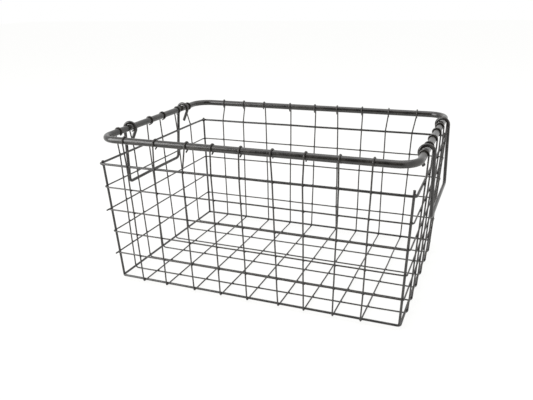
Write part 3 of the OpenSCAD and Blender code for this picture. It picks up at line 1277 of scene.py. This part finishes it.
@dataclass
class Studio:
    """Camera at the photograph's place, pale floor, dark cards, white surroundings and soft lamps.

    Attributes:
        place: the camera's place in metres, fitted to the photograph as are the next four.
        yaw: the camera's turn about the vertical, in degrees.
        pitch: its tilt upward, in degrees.
        roll: its roll, in degrees.
        focal_px: its focal length in pixels of a picture that is width_px wide.
        width_px: the width of that picture.
        sensor_mm: the width of its sensor.
        world_light: strength of the white world as light on the object.
        floor_half: half the floor's width in metres.
        floor_hex: the floor's colour.
        floor_glow: share of the floor that is seen as plain colour. The rest shows the shadow.
        card_hex: the dark cards' colour.
        card_left: x of their left edge in metres.
        card_right: x of their right edge.
        card_near: y of the mat's near edge.
        card_far: y at which the mat meets the upright card.
        card_top: height of the upright card.
        card_foot: height of the mat above the floor.
        aim: the point that the lamps face, in metres.
        softboxes: the lamps.
    """

    place: Triple = (0.2552, -0.6704, 0.3464)
    yaw: float = -22.722
    pitch: float = -19.876
    roll: float = -1.394
    focal_px: float = 581.5
    width_px: float = 533.0
    sensor_mm: float = 36.0
    world_light: float = 0.95
    floor_half: float = 6.0
    floor_hex: str = "#fefefd"
    floor_glow: float = 0.85
    card_hex: str = "#0c0c0c"
    card_left: float = -0.85
    card_right: float = 1.1
    card_near: float = -0.72
    card_far: float = -1.5
    card_top: float = 2.1
    card_foot: float = 0.002
    aim: Triple = (0.0, 0.0, 0.1)
    softboxes: tuple[Softbox, ...] = (
        Softbox("left softbox", (-1.35, -1.15, 0.75), (1.1, 1.5), 27.0),
        Softbox("top softbox", (0.0, 0.2, 1.9), (1.8, 1.2), 10.0),
    )

    def camera(self) -> None:
        """Makes the camera from its place and its yaw, pitch and roll."""
        yaw, pitch, roll = (math.radians(a) for a in (self.yaw, self.pitch, self.roll))
        ahead = Vector((math.sin(yaw) * math.cos(pitch), math.cos(yaw) * math.cos(pitch), math.sin(pitch)))
        right = Vector((math.cos(yaw), -math.sin(yaw), 0))
        upward = right.cross(ahead)
        x = right * math.cos(roll) + upward * math.sin(roll)
        y = upward * math.cos(roll) - right * math.sin(roll)
        data = bpy.data.cameras.new("camera")
        data.sensor_width = self.sensor_mm
        data.lens = self.focal_px / self.width_px * self.sensor_mm
        camera = add_object("camera", data)
        camera.matrix_world = Matrix.Translation(self.place) @ Matrix((x, y, -ahead)).transposed().to_4x4()
        bpy.context.scene.camera = camera

    def seen(self, tree: bpy.types.NodeTree) -> bpy.types.NodeSocket:
        """Adds nodes that tell seen rays from light.

        Args:
            tree: the node tree.
        Returns:
            A socket that is 1 for camera, glossy and transmission rays, and 0 for the others.
        """
        rays = add_node(tree, "ShaderNodeLightPath", {}, {}).outputs
        direct = add_node(
            tree,
            "ShaderNodeMath",
            {"operation": "MAXIMUM"},
            {0: rays["Is Camera Ray"], 1: rays["Is Glossy Ray"]},
        )
        through = add_node(
            tree,
            "ShaderNodeMath",
            {"operation": "MAXIMUM"},
            {0: direct.outputs["Value"], 1: rays["Is Transmission Ray"]},
        )
        return through.outputs["Value"]

    def surroundings(self) -> None:
        """White world: full white to the camera and in reflections, a little less as light."""
        world = bpy.data.worlds.new("white room")
        bpy.context.scene.world = world
        tree = clear_tree(world)
        strength = add_node(
            tree,
            "ShaderNodeMapRange",
            {"To Min": self.world_light, "To Max": 1.0},
            {"Value": self.seen(tree)},
        )
        sky = add_node(
            tree,
            "ShaderNodeBackground",
            {"Color": (1, 1, 1, 1)},
            {"Strength": strength.outputs["Result"]},
        )
        add_node(tree, "ShaderNodeOutputWorld", {}, {"Surface": sky.outputs["Background"]})

    def sheet(self, name: str, corners: list[Triple], hex_colour: str, glow: float) -> bpy.types.Object:
        """Adds a flat sheet of the set.

        Args:
            name: the sheet's name.
            corners: its corners in metres, in order.
            hex_colour: its sRGB colour.
            glow: share of the sheet's look that is plain colour to seen rays.
        Returns:
            The sheet.
        """
        mesh = bpy.data.meshes.new(name)
        mesh.from_pydata(corners, [], [tuple(range(len(corners)))])
        material = bpy.data.materials.new(name)
        tree = clear_tree(material)
        colour = {"Color": linear(hex_colour)}
        lit = add_node(tree, "ShaderNodeBsdfDiffuse", colour, {})
        plain = add_node(tree, "ShaderNodeEmission", colour, {})
        share = add_node(
            tree, "ShaderNodeMath", {"operation": "MULTIPLY", 1: glow}, {0: self.seen(tree)}
        )
        mixed = add_node(
            tree,
            "ShaderNodeMixShader",
            {},
            {0: share.outputs["Value"], 1: lit.outputs["BSDF"], 2: plain.outputs["Emission"]},
        )
        add_node(tree, "ShaderNodeOutputMaterial", {}, {"Surface": mixed.outputs["Shader"]})
        mesh.materials.append(material)
        piece = add_object(name, mesh)
        return piece

    def sheets(self) -> None:
        """Adds the pale floor, which keeps a faint shadow, and the dark cards behind the camera.

        The cards stand for the dim room in front of the basket: the lacquer mirrors them as the dark
        band along the front of the rim. Nothing else of them is seen, and they take no light away.
        """
        h, z = self.floor_half, self.card_foot
        left, right, near = self.card_left, self.card_right, self.card_near
        far, top = self.card_far, self.card_top
        floor = [(-h, -h, 0), (h, -h, 0), (h, h, 0), (-h, h, 0)]
        mat = [(left, far, z), (right, far, z), (right, near, z), (left, near, z)]
        wall = [(left, far, z), (right, far, z), (right, far, top), (left, far, top)]
        self.sheet("pale floor", floor, self.floor_hex, self.floor_glow)
        for name, corners in (("dark mat", mat), ("dark card", wall)):
            card = self.sheet(name, corners, self.card_hex, 0.0)
            card.visible_camera = card.visible_diffuse = card.visible_shadow = False

    def build(self) -> None:
        """Makes the whole studio."""
        self.camera()
        self.surroundings()
        self.sheets()
        for softbox in self.softboxes:
            softbox.build(self.aim)
        bpy.context.scene.view_settings.view_transform = "Standard"


@dataclass
class Basket:
    """The whole object: builds each tube, dresses it and lets it ride on its body.

    Attributes:
        levels: the rings that every wire is measured from.
        weld_reach: how far a weld marks the lacquer of a wire.
        finishes: the material of each slot, made by dress.
    """

    levels: Levels
    weld_reach: float = 3.2
    finishes: dict[Slot, bpy.types.Material] = field(default_factory=dict)

    def dress(self) -> None:
        """Makes the finishes."""
        self.finishes = {
            Slot.RIM: BlackLacquer("black lacquer on the rim rod", mottle_mm=12.0).make(),
            Slot.FRAME: BlackLacquer("black lacquer on frame wire", "#1b1a18", "#302d2a").make(),
            Slot.MESH: BlackLacquer("black lacquer on mesh wire", "#24211e", "#3a3732").make(),
            Slot.HANDLE: BlackLacquer("black lacquer on the handles", "#1a1816", "#2e2b28").make(),
        }

    def slot_of(self, node: str) -> Slot:
        """Finds the material slot of a node, by what it is made of.

        Args:
            node: the node's name.
        Returns:
            Its slot.
        """
        if node == "rim":
            return Slot.RIM
        if node.endswith("handle"):
            return Slot.HANDLE
        return Slot.FRAME if node.startswith(("top", "bottom", "post")) else Slot.MESH

    def mark_welds(self, piece: bpy.types.Object, welds: np.ndarray) -> None:
        """Writes the "weld" attribute: the sum of exp(-(distance / reach) squared), at most 1.

        Args:
            piece: the wire's object.
            welds: the weld places in millimetres, n by 3.
        """
        marks = np.zeros(len(piece.data.vertices))
        if len(welds):
            gaps = np.linalg.norm(vertices_of(piece)[:, None] / MM - welds[None], axis=2)
            marks = np.minimum(1.0, np.exp(-((gaps / self.weld_reach) ** 2)).sum(1))
        layer = piece.data.attributes.new("weld", "FLOAT", "POINT")
        layer.data.foreach_set("value", marks.astype(np.float32))

    def place(self, tube: Tube, body: str, welds: np.ndarray) -> None:
        """Builds one tube in place of its solid.

        Args:
            tube: the tube, named for its solid's node.
            body: the body that it rides on.
            welds: the weld places in millimetres, n by 3.
        """
        piece = tube.build()
        piece.name = f"{tube.name}_wire"
        self.mark_welds(piece, welds)
        slot = self.slot_of(tube.name)
        piece.data.materials.append(self.finishes[slot])
        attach(piece, body)
        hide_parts(tube.name)
        low, high = (np.array(corner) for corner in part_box(tube.name))
        corners = vertices_of(piece)
        off = np.abs(np.stack([corners.min(0) - low, corners.max(0) - high])).max() / MM
        log.info("%s: %d faces, box within %.2f mm of its solid", piece.name, len(piece.data.polygons), off)

    def handles(self) -> list[Handle]:
        """Lays out both bail handles as they hang in the photograph.

        Returns:
            The left and the right handle.
        """
        left = Handle(
            self.levels,
            "left_handle",
            LEFT_BAIL,
            side=-1,
            lean=3.0,
            shift=4.5,
            eye_out=-0.9,
            slants=(-9.0, -3.0),
            tails=(11.0, 15.0),
        )
        right = Handle(
            self.levels,
            "right_handle",
            RIGHT_BAIL,
            side=1,
            lean=1.0,
            shift=1.0,
            eye_out=0.9,
            slants=(12.0, 12.0),
            tails=(12.5, 12.5),
        )
        return [left, right]

    def build(self) -> None:
        """Builds all pieces in order. The rim isn't welded, so it gets no marks."""
        self.dress()
        fixed = {
            **Rings(self.levels).tubes(),
            **Posts().tubes(self.levels.top.d),
            **MeshWires(self.levels).tubes(),
        }
        nuggets = Welds()
        spots = nuggets.places(fixed, self.levels.bite)
        points, no_points = spots[:, 0], spots[:0, 0]
        for name, tube in fixed.items():
            self.place(tube, BASKET, no_points if name == "rim" else points)
        welds = nuggets.build(spots, "weld_nuggets")
        welds.data.materials.append(LacqueredWeld().make())
        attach(welds, BASKET)
        log.info("weld_nuggets: %d crossings", len(spots))
        for handle in self.handles():
            self.place(handle.tube(), handle.body, no_points)


def main() -> None:
    """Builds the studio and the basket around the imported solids."""
    logging.basicConfig(level=logging.INFO, format="%(message)s")
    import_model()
    Studio().build()
    Basket(Levels()).build()


if __name__ == "__main__":
    main()
